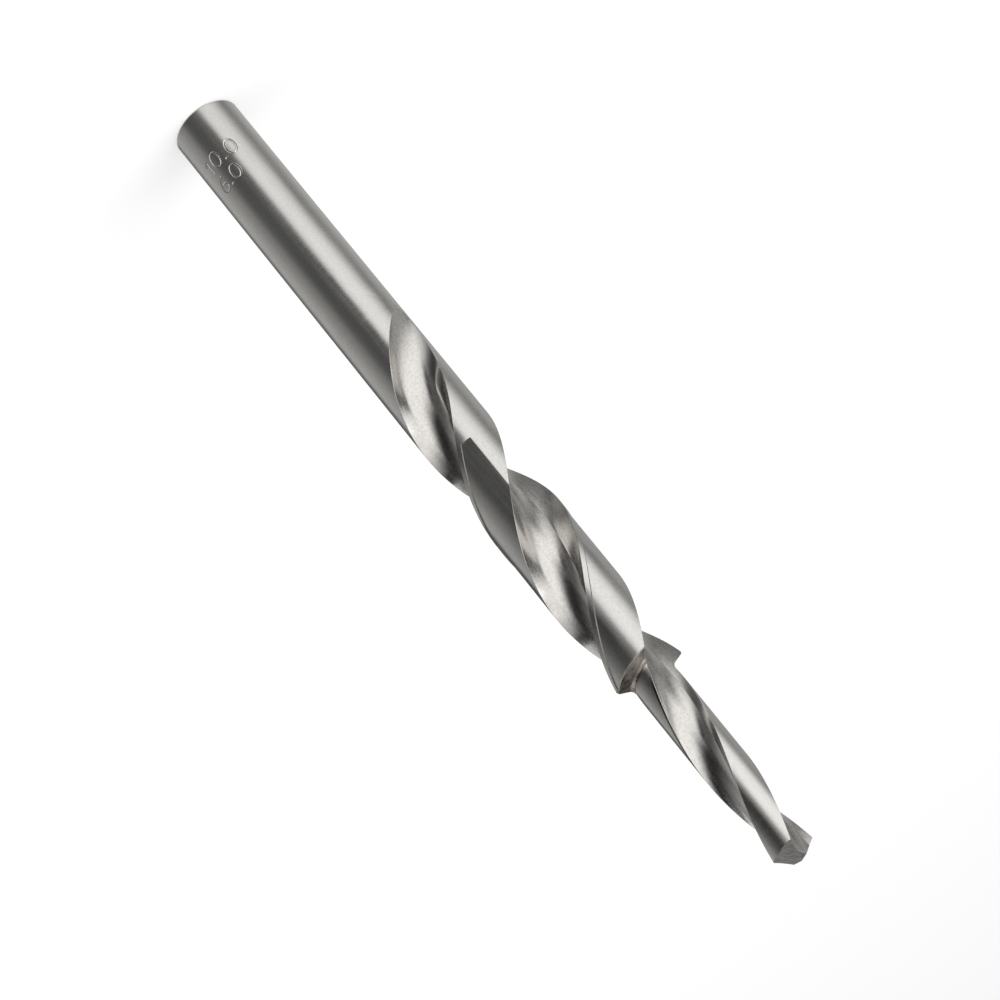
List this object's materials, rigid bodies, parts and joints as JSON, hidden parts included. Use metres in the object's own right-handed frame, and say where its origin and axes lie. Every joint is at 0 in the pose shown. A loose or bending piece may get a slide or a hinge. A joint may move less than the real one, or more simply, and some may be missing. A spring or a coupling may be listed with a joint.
{
  "type": "step drill bit",
  "caption": "Right-hand step twist drill with a plain round shank, helical flutes, a stepped cutting shoulder and a narrower pilot with a relieved point.",
  "frame": {"origin": "centre of the shank end face", "axes": "+Z runs along the drill's axis towards the point, +X runs along one cutting lip"},
  "size_m": [0.01, 0.01, 0.133],
  "materials": {
    "ground_steel": "bright ground high-speed steel: fine lines round the shank, lengthwise grinding marks in the flutes"
  },
  "bodies": {
    "root": {"step_drill": "ground_steel"}
  },
  "joints": []
}
